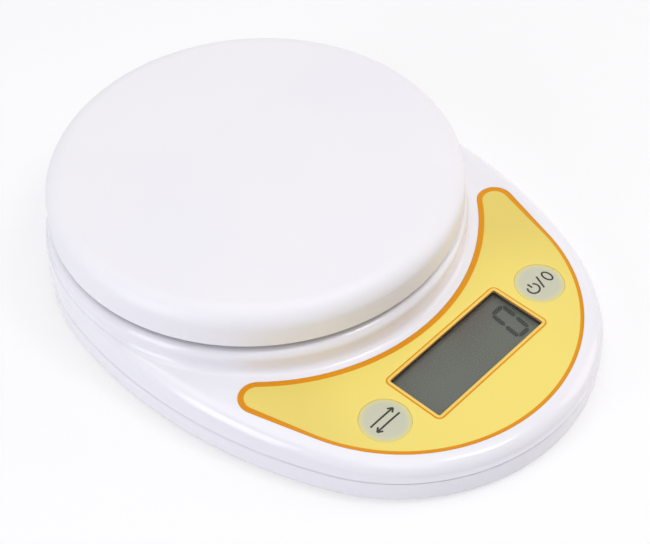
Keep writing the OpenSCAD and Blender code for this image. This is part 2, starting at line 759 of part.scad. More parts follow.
// The chip under its black drop of resin
module controller_chip() {
    drop_r = 6.5;
    drop_h = 1.6;
    bend = (drop_r ^ 2 + drop_h ^ 2) / (2 * drop_h);
    color("black") on_panel() translate([8, -3, board_bottom]) intersection() {
        translate([0, 0, bend - drop_h]) sphere(bend);
        translate([0, 0, -drop_h]) cylinder(r = drop_r + 1, h = drop_h);
    }
}
module board_parts() {
    chip_w = 1.6;
    chip_l = 2 * chip_w;
    chip_h = 0.7;
    pitch = 2.5 * chip_w;
    can_r = 2.5;
    can_h = 4.4;
    can_y = -9;
    color("goldenrod") on_panel() translate([0, 0, board_bottom]) {
        for (k = [0:5]) translate([(k - 3.5) * pitch, 7, -chip_h]) cube([chip_w, chip_l, chip_h]);
        for (x = [-8, -5.2]) translate([x * can_r, can_y, -can_h]) cylinder(r = can_r, h = can_h);
        translate([18, -6, -1]) rotate([0, 90, 0]) cylinder(r = 1, h = 6);
        translate([20, 6, -2]) cube([7, 3, 2]);
    }
}
module key_switches() {
    color("black") on_panel() for (x = [-key_x, key_x]) translate([x, keys_y, board_top]) difference() {
        translate([-switch_w / 2, -switch_w / 2, 0]) cube([switch_w, switch_w, switch_h]);
        translate([0, 0, switch_floor]) cylinder(r = plunger_r + snug, h = switch_h);
    }
}
module plunger(x) {
    under = switch_floor + plunger_room;
    color("black") on_panel() translate([x, keys_y, board_top + under])
        cylinder(r = plunger_r, h = switch_h - under + plunger_out);
}
// A crowned round key with a flange that holds it under the deck
module press_key(x) {
    r = key_r - key_gap;
    bend = (r ^ 2 + key_crown ^ 2) / (2 * key_crown);
    color("lightgray") on_panel() translate([x, keys_y, 0]) {
        intersection() {
            translate([0, 0, flange_z]) cylinder(r = r, h = key_crown - flange_z);
            translate([0, 0, key_crown - bend]) sphere(bend);
        }
        translate([0, 0, flange_z]) cylinder(r = key_r + flange_w, h = flange_t);
    }
}
module unit_button() press_key(-key_x);
module power_button() press_key(key_x);
module unit_switch_plunger() plunger(-key_x);
module power_switch_plunger() plunger(key_x);

weighing_platform();
platform_carrier();
carrier_screws();
upper_shell();
base_shell();
shell_screws();
rubber_feet();
panel_overlay();
display_window();
display_glass();
display_frame();
contact_strip();
circuit_board();
controller_chip();
board_parts();
board_screws();
key_switches();
unit_button();
unit_switch_plunger();
power_button();
power_switch_plunger();
load_cell();
strain_gauges();
gauge_sealant();
load_cell_screws();
load_cell_wires();
battery_door();
battery_cells();
battery_springs();
battery_plates();
battery_wires();
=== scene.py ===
# %% [markdown]
# # A digital kitchen scale
#
# A white scale with a round platform, an egg-shaped shell and a crescent panel. The solid model
# already has the true sizes, so this lesson gives it its looks: the big mouldings are modelled
# again with soft edges, the print is laid on, and every surface gets a finish.

import math

import bmesh
import bpy
from mathutils import Matrix, Vector
from mathutils.kdtree import KDTree


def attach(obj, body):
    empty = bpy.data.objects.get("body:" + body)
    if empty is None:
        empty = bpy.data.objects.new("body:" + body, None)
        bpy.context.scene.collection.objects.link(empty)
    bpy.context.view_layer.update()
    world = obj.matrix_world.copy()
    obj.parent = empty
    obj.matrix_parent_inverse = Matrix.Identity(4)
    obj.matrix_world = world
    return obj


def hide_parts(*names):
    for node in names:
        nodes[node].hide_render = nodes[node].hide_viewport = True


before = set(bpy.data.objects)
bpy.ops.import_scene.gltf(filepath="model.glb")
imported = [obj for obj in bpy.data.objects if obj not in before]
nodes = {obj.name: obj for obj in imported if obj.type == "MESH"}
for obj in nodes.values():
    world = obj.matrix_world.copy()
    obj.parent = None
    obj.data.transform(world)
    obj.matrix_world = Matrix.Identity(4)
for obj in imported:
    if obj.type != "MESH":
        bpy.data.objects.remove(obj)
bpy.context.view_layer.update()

# %% [markdown]
# ## Sizes
#
# All lengths are in millimetres and are turned to metres in one place. The platform, the drum and
# the shell's round back share one axis, so their shapes are written about that axis. The panel
# lies on the sloping deck in front of it and has a frame of its own, with its zero on top of the
# printed film.

# %% The sizes that several pieces share
MM = 0.001
AXIS_Y = 31.5  # the shared axis, behind the middle of the scale
DECK_TILT = math.radians(2.5)
PANEL_Y, PANEL_Z = 101.6, 18.2  # the panel's zero: in front of the axis, and up
FILM_T = 0.4  # thickness of the printed film
WINDOW_W, WINDOW_D, WINDOW_CORNER = 57.9, 23.0, 1.0
KEY_X, KEY_Y, KEY_R = 42.6, 1.1, 9.3  # the keys, to the left and right on the panel
PANEL = (Matrix.Translation(Vector((0, AXIS_Y - PANEL_Y, PANEL_Z)) * MM)
         @ Matrix.Rotation(DECK_TILT, 4, "X"))
ABOUT_AXIS = Matrix.Translation(Vector((0, AXIS_Y, 0)) * MM)
print("zero of the panel, m:", [round(value, 4) for value in PANEL.translation])

# %% [markdown]
# ## Hands
#
# Modelling by hand is selecting, then acting. These few helpers do the selecting: they make one
# piece active, and pick parts of it by their place.

# %% Helpers for selecting
def only(piece):
    """Makes one piece the selected and active one."""
    bpy.ops.object.select_all(action="DESELECT")
    piece.select_set(True)
    bpy.context.view_layer.objects.active = piece


def pick(piece, kind, rule):
    """In edit mode, selects the EDGE or FACE items that the rule says yes to."""
    bpy.ops.mesh.select_mode(type=kind)
    bpy.ops.mesh.select_all(action="DESELECT")
    mesh = bmesh.from_edit_mesh(piece.data)
    chosen = [item for item in {"EDGE": mesh.edges, "FACE": mesh.faces}[kind] if rule(item)]
    for item in chosen:
        item.select_set(True)
    bmesh.update_edit_mesh(piece.data)


def middle(item):
    """The middle of an edge or a face, in millimetres."""
    return sum((v.co for v in item.verts), Vector()) / len(item.verts) / MM


# %% [markdown]
# The next helpers act on whole pieces: they put one in its place, cut a tool's shape out of it,
# shade it smooth, or join several into one. Every change is applied at once, so each piece ends
# as a plain mesh at the origin.

# %% Helpers for acting on a piece
def place(piece, matrix):
    """Puts a piece where it belongs and keeps that place in its mesh."""
    only(piece)
    piece.matrix_world = matrix
    bpy.ops.object.transform_apply(location=True, rotation=True, scale=True)
    return piece


def apply(piece, kind, **settings):
    """Adds a modifier, sets it and applies it."""
    only(piece)
    bpy.ops.object.modifier_add(type=kind)
    modifier = piece.modifiers[-1]
    for name, value in settings.items():
        setattr(modifier, name, value)
    bpy.ops.object.modifier_apply(modifier=modifier.name)


def cut(piece, tool):
    """Cuts a tool's shape out of a piece and clears the tool away."""
    apply(piece, "BOOLEAN", operation="DIFFERENCE", solver="EXACT", object=tool)
    bpy.data.objects.remove(tool)


def soften(piece, angle=32):
    """Smooth shading, with creases left where faces meet at more than the angle."""
    only(piece)
    bpy.ops.object.shade_smooth_by_angle(angle=math.radians(angle))
    apply(piece, "WEIGHTED_NORMAL", keep_sharp=True, weight=80)


def joined(name, parts):
    """One piece made of several."""
    bpy.ops.object.select_all(action="DESELECT")
    for part in parts:
        part.select_set(True)
    bpy.context.view_layer.objects.active = parts[0]
    bpy.ops.object.join()
    piece = bpy.context.object
    piece.name = piece.data.name = name
    return piece


# %% [markdown]
# ## Growing a form ring by ring
#
# Much of this object is one closed line that changes as it rises: the shell, the keys, the film.
# By hand this is a filled circle, extruded again and again, with each new ring moved onto its
# line. The helper does that with any list of rings that have the same number of points.

# %% Grow a solid through rings
def grown(name, rings, ends="closed"):
    """A solid through the rings, lists of points in millimetres. With ends="joined" the last ring
    runs back into the first, which makes a frame instead of a block."""
    bpy.ops.object.select_all(action="DESELECT")
    bpy.ops.mesh.primitive_circle_add(vertices=len(rings[0]), radius=1, fill_type="NGON",
                                      enter_editmode=True)
    piece = bpy.context.object
    piece.name = piece.data.name = name
    mesh = bmesh.from_edit_mesh(piece.data)
    for vertex, point in zip(mesh.verts, rings[0]):
        vertex.co = Vector(point) * MM
    bmesh.update_edit_mesh(piece.data)
    bpy.ops.mesh.select_all(action="SELECT")
    for ring, following in zip(rings, rings[1:]):
        bpy.ops.mesh.extrude_region_move()
        mesh = bmesh.from_edit_mesh(piece.data)
        tree = KDTree(len(ring))
        for i, point in enumerate(ring):
            tree.insert(Vector(point) * MM, i)
        tree.balance()
        for vertex in mesh.verts:
            if vertex.select:
                vertex.co = Vector(following[tree.find(vertex.co)[1]]) * MM
        bmesh.update_edit_mesh(piece.data)
    if ends == "joined":
        pick(piece, "FACE", lambda face: len(face.verts) == len(rings[0]))
        bpy.ops.mesh.delete(type="ONLY_FACE")
        pick(piece, "EDGE", lambda edge: edge.is_boundary)
        bpy.ops.mesh.bridge_edge_loops()
    bpy.ops.mesh.select_all(action="SELECT")
    bpy.ops.mesh.normals_make_consistent(inside=False)
    bpy.ops.object.mode_set(mode="OBJECT")
    return piece


def plate(name, outline, low, high):
    """A flat solid between two heights, over an outline of points."""
    return grown(name, [[(point[0], point[1], height) for point in outline]
                        for height in (low, high)])


# %% [markdown]
# Three kinds of line come back all the time: a circle, a rectangle with rounded corners, and the
# angles of a part turn, from which every curved section is drawn.

# %% Lines to grow from
def circle(radius, height, centre, count=96):
    """A ring of points round a centre."""
    turns = [2 * math.pi * i / count for i in range(count)]
    return [(centre[0] + radius * math.cos(t), centre[1] + radius * math.sin(t), height)
            for t in turns]


def round_rect(width, depth, corner, height, steps=6):
    """A ring of points round a rectangle with rounded corners."""
    ring = []
    for k, (sx, sy) in enumerate(((1, 1), (-1, 1), (-1, -1), (1, -1))):
        for i in range(steps + 1):
            t = math.pi / 2 * (k + i / steps)
            ring.append((sx * (width / 2 - corner) + corner * math.cos(t),
                         sy * (depth / 2 - corner) + corner * math.sin(t), height))
    return ring


def angles(first, last, steps):
    """Angles from one to another in even steps, given in degrees."""
    return [math.radians(first + (last - first) * i / steps) for i in range(steps + 1)]


# %% [markdown]
# ## The camera
#
# The photograph looks down at the scale from its front left corner, with a long lens. The camera
# stands 0.66 m away. Its place and turn come from fitting the platform's rim, the window's
# corners and the keys.

# %% Set the camera
camera_data = bpy.data.cameras.new("camera")
camera_data.sensor_width = 36
camera_data.lens = 97.58
camera = bpy.data.objects.new("camera", camera_data)
bpy.context.scene.collection.objects.link(camera)
camera.location = (-0.3284, -0.3179, 0.4819)
camera.rotation_euler = [math.radians(a) for a in (44.092, 1.406, -47.591)]
bpy.context.scene.camera = camera
print("camera to the middle of the scale, m:", round(camera.location.length, 2))

# %% [markdown]
# ## Finishes
#
# Every finish starts from what the real surface is. Colours are written as sRGB hex values, as a
# picture editor shows them, and one function turns them to the linear values that the renderer
# works in. One more function adds a node with its settings and its links.

# %% Colour and node helpers
def paint(code, share=1.0):
    """An sRGB hex colour as linear values, dimmed to a share of its light."""
    parts = [int(code[i:i + 2], 16) / 255 for i in (1, 3, 5)]
    linear = [c / 12.92 if c <= 0.04045 else ((c + 0.055) / 1.055) ** 2.4 for c in parts]
    return [c * share for c in linear] + [1.0]


def add(tree, kind, links=None, stops=(), **settings):
    """Adds a node. A setting is one of its properties or one of its inputs, and a link joins one
    of its inputs to another node's output. A colour ramp also has stops: position and colour."""
    made = tree.nodes.new(kind)
    for name, value in settings.items():
        if hasattr(made, name):
            setattr(made, name, value)
        else:
            made.inputs[name.replace("_", " ")].default_value = value
    for socket, source in (links or {}).items():
        tree.links.new(source, made.inputs[socket])
    if stops:
        band = made.color_ramp.elements
        while len(band) < len(stops):
            band.new(0.5)
        for element, (position, colour) in zip(band, stops):
            element.position, element.color = position, colour
    return made


def new_finish(name, **settings):
    """An empty material with its output node, its shader and Object coordinates. The settings are
    inputs of the shader that stay the same all over."""
    material = bpy.data.materials.new(name)
    material.use_nodes = True
    tree = material.node_tree
    tree.nodes.clear()
    shader = add(tree, "ShaderNodeBsdfPrincipled", **settings)
    add(tree, "ShaderNodeOutputMaterial", {"Surface": shader.outputs["BSDF"]})
    where = add(tree, "ShaderNodeTexCoord").outputs["Object"]
    return material, tree, shader, where


# %% [markdown]
# ### Moulded plastic, rubber and the like
#
# ABS comes out of a polished mould glossy, with a faint unevenness from the melt that only shows
# in its highlights. Most other plain materials here differ from it in colour, gloss and the size
# of their grain, so one recipe serves them all: two close shades that drift across the surface,
# a roughness that varies a little, and a fine bump. A real mould's grain is often finer than the
# picture can show, so no grain here is drawn finer than 0.2 mm.

# %% The recipe for moulded surfaces
SHADE_DRIFT = 55.56  # millimetres from one shade to the next


def moulded(name, shade, second, roughness, grain, bump, ior=1.54):
    """grain is the size of the surface's unevenness in millimetres, bump its height."""
    material, tree, shader, where = new_finish(name, IOR=ior)
    drift = add(tree, "ShaderNodeTexNoise", {"Vector": where}, Scale=1 / (SHADE_DRIFT * MM),
                Detail=2.0)
    tone = add(tree, "ShaderNodeValToRGB", {"Fac": drift.outputs["Fac"]},
               stops=[(0.35, paint(shade)), (0.65, paint(second))])
    tree.links.new(tone.outputs["Color"], shader.inputs["Base Color"])
    fine = add(tree, "ShaderNodeTexNoise", {"Vector": where}, Scale=1 / (grain * MM), Detail=3.0)
    gloss = add(tree, "ShaderNodeMapRange", {"Value": fine.outputs["Fac"]},
                To_Min=roughness * 0.88, To_Max=roughness * 1.12)
    tree.links.new(gloss.outputs["Result"], shader.inputs["Roughness"])
    relief = add(tree, "ShaderNodeBump", {"Height": fine.outputs["Fac"]}, Strength=1.0,
                 Distance=bump * MM)
    tree.links.new(relief.outputs["Normal"], shader.inputs["Normal"])
    return material


# A polished mould gives the shells hard, clear highlights. A finely eroded one makes the platform
# satin, so that light fades softly over it. The hidden mouldings come from plain, matt moulds.
white_abs = moulded("glossy white ABS", "#F0F0F4", "#F2F2F5", 0.14, 6.0, 0.006)
platform_abs = moulded("satin white ABS", "#F1F1F4", "#F3F3F4", 0.42, 0.5, 0.002)
inner_abs = moulded("plain white ABS", "#DEDFE0", "#E3E4E4", 0.5, 0.6, 0.01)
black_abs = moulded("black switch plastic", "#1B1B1C", "#222223", 0.45, 0.4, 0.01)
# Rubber and silicone are soft to the eye too: a broad grey sheen and no sharp highlight.
foot_rubber = moulded("dark moulded rubber", "#2A2A2B", "#303031", 0.75, 0.3, 0.02, ior=1.52)
strip_rubber = moulded("layered silicone strip", "#161617", "#2C2C2E", 0.6, 0.2, 0.01, ior=1.43)
sealant = moulded("cured white silicone", "#DDDCD6", "#E6E5E0", 0.38, 1.5, 0.05, ior=1.43)
# Drawn PVC, a cast drop and rolled foil have a smooth skin, which catches small bright lines.
sleeve = moulded("wire sleeve", "#B02018", "#BC2A1E", 0.32, 1.0, 0.01, ior=1.53)
resin = moulded("cast black resin", "#0C0C0E", "#121214", 0.18, 2.0, 0.02, ior=1.55)
foil = moulded("polyimide foil", "#B0642A", "#C2763A", 0.35, 0.4, 0.01, ior=1.6)
# Foam is all small open cells, so it swallows nearly every highlight. Its dark brown is painted
# shade: it lines the walls of the window's recess.
recess_shade_foam = moulded("dark foam gasket", "#2B2014", "#3A2B18", 0.85, 0.25, 0.03, ior=1.5)
print("moulded finishes:", len(bpy.data.materials))

# %% [markdown]
# ### Metals
#
# The beam is milled aluminium, the screws are zinc plated and the springs nickel plated. A metal
# is its reflection: the base colour tints it, and the marks that the tool left stretch it. A
# noise that is drawn out along one direction gives those marks.

# %% The recipe for metals
MARK_DEPTH = 0.004


def metal(name, shade, roughness, stretch, mark):
    """stretch scales the marks along X, Y and Z, and mark is their width in millimetres."""
    material, tree, shader, where = new_finish(name, Metallic=1.0)
    drawn = add(tree, "ShaderNodeMapping", {"Vector": where}, Scale=stretch)
    lines = add(tree, "ShaderNodeTexNoise", {"Vector": drawn.outputs["Vector"]},
                Scale=1 / (mark * MM), Detail=4.0)
    tone = add(tree, "ShaderNodeValToRGB", {"Fac": lines.outputs["Fac"]},
               stops=[(0.3, paint(shade, 0.85)), (0.7, paint(shade))])
    tree.links.new(tone.outputs["Color"], shader.inputs["Base Color"])
    gloss = add(tree, "ShaderNodeMapRange", {"Value": lines.outputs["Fac"]},
                To_Min=roughness * 0.75, To_Max=roughness * 1.25)
    tree.links.new(gloss.outputs["Result"], shader.inputs["Roughness"])
    relief = add(tree, "ShaderNodeBump", {"Height": lines.outputs["Fac"]}, Strength=1.0,
                 Distance=MARK_DEPTH * MM)
    tree.links.new(relief.outputs["Normal"], shader.inputs["Normal"])
    return material


zinc = metal("zinc plated steel", "#B9BABD", 0.32, (1, 1, 1), 0.4)
nickel = metal("nickel plated spring steel", "#C9C6BF", 0.22, (1, 1, 1), 0.6)
milled = metal("milled aluminium", "#C6C8CB", 0.34, (0.05, 1, 1), 0.25)
print("metals:", [finish.name for finish in (zinc, nickel, milled)])

# %% [markdown]
# ### Clear window and display glass
#
# The window is a thin clear acrylic plate, cast smooth. It is given a low alpha, so that light
# falls through it onto the display without the noise of true refraction, while its gloss stays.
# The display behind it is a grey-green liquid crystal cell. Towards the back it is painted darker
# and browner: painted shade from the edge of the window's recess, and a painted reflection of the
# yellow film. Its lit segments are dark and flat.

# %% Window and display finishes
SMEAR, CLOUD = 16.67, 22.22  # millimetres across a wiped smear, and a faint cloud
DISPLAY_FRONT, DISPLAY_BACK = -83, -58  # where the display starts and ends, along Y

clear, tree, shader, where = new_finish("clear acrylic window", Base_Color=paint("#4A514B"),
                                        Alpha=0.1, IOR=1.49)
smear = add(tree, "ShaderNodeTexNoise", {"Vector": where}, Scale=1 / (SMEAR * MM), Detail=2.0)
gloss = add(tree, "ShaderNodeMapRange", {"Value": smear.outputs["Fac"]}, To_Min=0.05, To_Max=0.09)
tree.links.new(gloss.outputs["Result"], shader.inputs["Roughness"])

crystal, tree, shader, where = new_finish("liquid crystal cell", Roughness=0.3, IOR=1.5)
# Painted shade and reflection: the cell turns darker and browner towards the back, broken up by a
# faint cloud.
apart = add(tree, "ShaderNodeSeparateXYZ", {"Vector": where})
across = add(tree, "ShaderNodeMapRange", {"Value": apart.outputs["Y"]},
             From_Min=DISPLAY_FRONT * MM, From_Max=DISPLAY_BACK * MM)
cloud = add(tree, "ShaderNodeTexNoise", {"Vector": where}, Scale=1 / (CLOUD * MM), Detail=1.0)
mixed = add(tree, "ShaderNodeMath", {0: across.outputs["Result"], 1: cloud.outputs["Fac"]},
            operation="MULTIPLY")
tone = add(tree, "ShaderNodeValToRGB", {"Fac": mixed.outputs["Value"]},
           stops=[(0.1, paint("#747B70")), (0.3, paint("#71776B")), (0.75, paint("#6D665E"))])
tree.links.new(tone.outputs["Color"], shader.inputs["Base Color"])
segment_ink = moulded("lit display segment", "#2F332D", "#333730", 0.35, 1.0, 0.0)
print("display finishes:", [finish.name for finish in (clear, crystal, segment_ink)])

# %% [markdown]
# ### Printed film
#
# The panel is a polycarbonate film, printed in yellow with an orange border. The yellow turns a
# little darker, towards mustard, at the two horns, so it follows the distance from the window. A
# fine grit in the film keeps it satin. It is drawn coarser than the real grit, which would not
# show.

# %% Film finishes
PALEST_Y, DRIFT_FROM, DRIFT_TO = -83, 20, 70  # a place before the window, distances from it
FILM_GRIT, GRIT_DEPTH = 0.4, 0.003

yellow_ink, tree, shader, where = new_finish("yellow printed film", Roughness=0.38, IOR=1.58)
centred = add(tree, "ShaderNodeMapping", {"Vector": where}, Location=(0, -PALEST_Y * MM, 0),
              Scale=(1, 1, 0))
spread = add(tree, "ShaderNodeVectorMath", {0: centred.outputs["Vector"]}, operation="LENGTH")
reach_out = add(tree, "ShaderNodeMapRange", {"Value": spread.outputs["Value"]},
                From_Min=DRIFT_FROM * MM, From_Max=DRIFT_TO * MM)
tone = add(tree, "ShaderNodeValToRGB", {"Fac": reach_out.outputs["Result"]},
           stops=[(0.0, paint("#F3DF6C")), (0.6, paint("#F0DC6A")), (1.0, paint("#E8D365"))])
tree.links.new(tone.outputs["Color"], shader.inputs["Base Color"])
grit = add(tree, "ShaderNodeTexNoise", {"Vector": where}, Scale=1 / (FILM_GRIT * MM), Detail=2.0)
relief = add(tree, "ShaderNodeBump", {"Height": grit.outputs["Fac"]}, Strength=1.0,
             Distance=GRIT_DEPTH * MM)
tree.links.new(relief.outputs["Normal"], shader.inputs["Normal"])

orange_ink = moulded("orange printed border", "#E09000", "#E49706", 0.38, 0.4, 0.003, ior=1.3)
# The bead's lighter amber is partly its own colour and partly a painted highlight.
amber_and_highlight_ink = moulded("amber window bead with painted highlight", "#F0CE5A", "#F3D466", 0.3, 0.5, 0.003, ior=1.5)
dark_ink = moulded("dark key ink", "#1F2018", "#25261D", 0.45, 0.5, 0.002, ior=1.5)
print("inks:", [finish.name for finish in (yellow_ink, orange_ink, amber_and_highlight_ink, dark_ink)])

# %% [markdown]
# ### Keys
#
# The keys are soft and translucent silicone, grey-green in the middle. Towards the edge a painted
# yellow stands for the light of the yellow film round each key, so the colour follows the distance
# from the middle of each key.

# %% Key finishes
def soft_key(name, x):
    """The finish of a key whose middle is at x on the panel."""
    material, tree, shader, where = new_finish(name, Roughness=0.5, IOR=1.45)
    home = add(tree, "ShaderNodeVectorMath", {0: where}, operation="SUBTRACT")
    home.inputs[1].default_value = PANEL @ (Vector((x, KEY_Y, 0)) * MM)
    flat = add(tree, "ShaderNodeVectorMath", {0: home.outputs["Vector"]}, operation="MULTIPLY")
    flat.inputs[1].default_value = (1, 1, 0)
    away = add(tree, "ShaderNodeVectorMath", {0: flat.outputs["Vector"]}, operation="LENGTH")
    share = add(tree, "ShaderNodeMath", {0: away.outputs["Value"]}, operation="DIVIDE")
    share.inputs[1].default_value = KEY_R * MM
    # Grey-green in the middle, then painted yellow light from the film towards the edge.
    tone = add(tree, "ShaderNodeValToRGB", {"Fac": share.outputs["Value"]},
               stops=[(0.0, paint("#C6C8B0")), (0.72, paint("#C8CAB2")),
                      (0.88, paint("#D2D0A4")), (1.0, paint("#E2D67C"))])
    tree.links.new(tone.outputs["Color"], shader.inputs["Base Color"])
    return material


unit_key_finish = soft_key("soft unit key", -KEY_X)
power_key_finish = soft_key("soft power key", KEY_X)
print("key finishes:", [finish.name for finish in (unit_key_finish, power_key_finish)])

# %% [markdown]
# ### Finishes of the inner parts
#
# The circuit board is glass fibre under green solder mask, and its weave shows faintly through.
# The small parts on it are a speckle of browns. The cells wear a plain, slightly metallic film
# sleeve that grows a little lighter towards one end.

# %% Board, small parts and cells
WEAVE, SPECKLE = 0.4545, 4.545  # millimetres: the board's weave, the mix of small parts
CELL_END = 30  # where the shade of the cells' sleeve stops drifting

board_mask, tree, shader, where = new_finish("green solder mask", Roughness=0.35)
weave = add(tree, "ShaderNodeTexChecker", {"Vector": where}, Scale=1 / (WEAVE * MM),
            Color1=paint("#1C5A34"), Color2=paint("#206139"))
tree.links.new(weave.outputs["Color"], shader.inputs["Base Color"])

mixed_parts, tree, shader, where = new_finish("small electronic parts", Roughness=0.4)
speckle = add(tree, "ShaderNodeTexVoronoi", {"Vector": where}, Scale=1 / (SPECKLE * MM))
tone = add(tree, "ShaderNodeValToRGB", {"Fac": speckle.outputs["Distance"]},
           stops=[(0.0, paint("#3A3026")), (0.5, paint("#B08A45"))])
tree.links.new(tone.outputs["Color"], shader.inputs["Base Color"])

cell_sleeve, tree, shader, where = new_finish("plain battery sleeve", Roughness=0.28, Metallic=0.6)
apart = add(tree, "ShaderNodeSeparateXYZ", {"Vector": where})
band = add(tree, "ShaderNodeMapRange", {"Value": apart.outputs["X"]},
           From_Min=-CELL_END * MM, From_Max=CELL_END * MM)
tone = add(tree, "ShaderNodeValToRGB", {"Fac": band.outputs["Result"]},
           stops=[(0.0, paint("#3B3E43")), (0.5, paint("#404348")), (1.0, paint("#4A4D52"))])
tree.links.new(tone.outputs["Color"], shader.inputs["Base Color"])
print("finishes in all:", len(bpy.data.materials))

# %% [markdown]
# ## The weighing platform
#
# A shallow upturned dish: a flat plate with a rounded top edge and a deep rim that hangs over
# the drum. It starts as a cylinder. The underside is inset by the wall and pushed up, and two
# round ribs are pulled down from the ceiling.

# %% Model the platform
PLATFORM_R, PLATFORM_TOP, PLATFORM_RIM, PLATFORM_WALL, PLATFORM_EDGE = 77.5, 47.0, 14.7, 2.4, 7.5
OUTER_RIB_R, INNER_RIB_R, RIB_W, RIB_H = 68.8, 29.8, 1.6, 1.2
TOUCH = 0.01  # how near to a height counts as being there
rim_low, plate_under = PLATFORM_TOP - PLATFORM_RIM, PLATFORM_TOP - PLATFORM_WALL


def looks_down(face):
    """Whether a face looks straight down, or nearly."""
    return face.normal.z < -0.9


bpy.ops.object.select_all(action="DESELECT")
bpy.ops.mesh.primitive_cylinder_add(
    vertices=192, radius=PLATFORM_R * MM, depth=PLATFORM_RIM * MM,
    location=(0, 0, (PLATFORM_TOP - PLATFORM_RIM / 2) * MM), enter_editmode=True)
platform = bpy.context.object
platform.name = platform.data.name = "platform_moulding"
bpy.ops.object.mode_set(mode="OBJECT")
place(platform, platform.matrix_world.copy())
bpy.ops.object.mode_set(mode="EDIT")
pick(platform, "FACE", looks_down)
bpy.ops.mesh.inset(thickness=PLATFORM_WALL * MM)
push_up = (0, 0, (plate_under - rim_low) * MM)
bpy.ops.mesh.extrude_region_move(TRANSFORM_OT_translate={"value": push_up})
for inset in (PLATFORM_R - PLATFORM_WALL - OUTER_RIB_R, RIB_W,
              OUTER_RIB_R - RIB_W - INNER_RIB_R, RIB_W):
    bpy.ops.mesh.inset(thickness=inset * MM)
pick(platform, "FACE", lambda face: looks_down(face) and len(face.verts) == 4
     and abs(middle(face).z - plate_under) < TOUCH
     and any(rib - RIB_W < middle(face).xy.length < rib for rib in (OUTER_RIB_R, INNER_RIB_R)))
bpy.ops.mesh.extrude_region_move(TRANSFORM_OT_translate={"value": (0, 0, -RIB_H * MM)})
print("platform faces before rounding:", len(bmesh.from_edit_mesh(platform.data).faces))

# %% [markdown]
# The bevels come last, one round of edges after the other: a wide one on top, a smaller one inside
# it, so that the wall keeps its thickness round the corner, and a fine one on the rim's lower lip.

# %% Round the platform's edges
LIP_ROUND = 0.35
inner_r = PLATFORM_R - PLATFORM_WALL


def round_edge(height, nearest, farthest, offset, segments):
    """Bevels the platform's edges at a height, between two distances from the axis."""
    pick(platform, "EDGE", lambda edge: abs(middle(edge).z - height) < TOUCH
         and nearest < middle(edge).xy.length < farthest)
    bpy.ops.mesh.bevel(offset=offset * MM, segments=segments, profile=0.5)


round_edge(PLATFORM_TOP, PLATFORM_R - 1, PLATFORM_R + 1, PLATFORM_EDGE, 12)
round_edge(plate_under, inner_r - 0.2, inner_r + 0.2, PLATFORM_EDGE - PLATFORM_WALL, 5)
round_edge(rim_low, PLATFORM_R - 4, PLATFORM_R + 1, LIP_ROUND, 3)
bpy.ops.object.mode_set(mode="OBJECT")
place(platform, ABOUT_AXIS)
soften(platform)
platform.data.materials.append(platform_abs)
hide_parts("weighing_platform")
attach(platform, "platform")
print("platform faces:", len(platform.data.polygons))

# %% [markdown]
# ## The upper shell
#
# From the side this moulding is a drum, a hollow sweep, a nearly flat deck and a rounded shoulder
# that falls to the seam. From above it is an egg: a round back, two long flanks and a tighter
# front, all arcs that run into each other. Each direction from the axis has its own section, so
# the shell is grown ring by ring, with many rings where it is curved. First comes the egg, as the
# distance from the axis to the outline in each direction.

# %% The egg outline
BACK_R, FRONT_REACH, FRONT_R, SIDE_R, FLARE = 80.0, 143.0, 74.0, 185.0, 0.2
front_centre = Vector((0, FRONT_R - FRONT_REACH))
to_front, to_back = SIDE_R - FRONT_R, SIDE_R - BACK_R
flank_dy = (to_front ** 2 - to_back ** 2 + front_centre.y ** 2) / (-2 * front_centre.y)
flank_centre = Vector((-math.sqrt(to_front ** 2 - flank_dy ** 2), front_centre.y + flank_dy))


def reach(turn, inside):
    """Distance from the axis to the outline in a direction, some way inside the seam's edge."""
    way = Vector((abs(math.cos(turn)), math.sin(turn)))
    side = SIDE_R + FLARE - inside
    back_join = flank_centre - side * flank_centre.normalized()
    front_join = flank_centre + side * (front_centre - flank_centre).normalized()
    angle = math.atan2(way.y, way.x)
    if angle >= math.atan2(back_join.y, back_join.x):
        return BACK_R + FLARE - inside
    flank = angle >= math.atan2(front_join.y, front_join.x)
    centre, radius = (flank_centre, side) if flank else (front_centre, FRONT_R + FLARE - inside)
    along = centre.dot(way)
    return along + math.sqrt(along ** 2 - centre.dot(centre) + radius ** 2)


print("reach to the back, side and front, mm:",
      [round(reach(math.radians(a), 0), 1) for a in (90, 0, -90)])

# %% [markdown]
# The section starts at the drum's top and runs outside down to the seam, then back up inside at
# the distance of the wall. Behind the axis the shell hardly reaches past the drum, so the lean of
# the side wall, the shoulder and the sweep each take no more than a share of the room there is.

# %% The shell's section
SEAM_Z, GROOVE, WALL, LEAN, LIP_TOP = 10.5, 0.3, 2.2, 0.8, 11.3
DRUM_R, DRUM_TOP = BACK_R + FLARE - 1.4, 29.4
ROUND_W, ROUND_H = 5.4, 4.8  # width and height of the rounded shoulder
SEAM_EDGE, LEAST_ROUND = 0.2, 0.8


def deck_at(y):
    """Height of the deck at a distance from the axis, level behind it and sloping in front."""
    return PANEL_Z + math.tan(DECK_TILT) * (min(y, 0) + PANEL_Y)


# The drum stands up from the deck: 52 percent of its height rounds its edge, 44 percent sweeps out.
DRUM_EDGE, SWEEP = (share * (DRUM_TOP - deck_at(0)) for share in (0.52, 0.44))


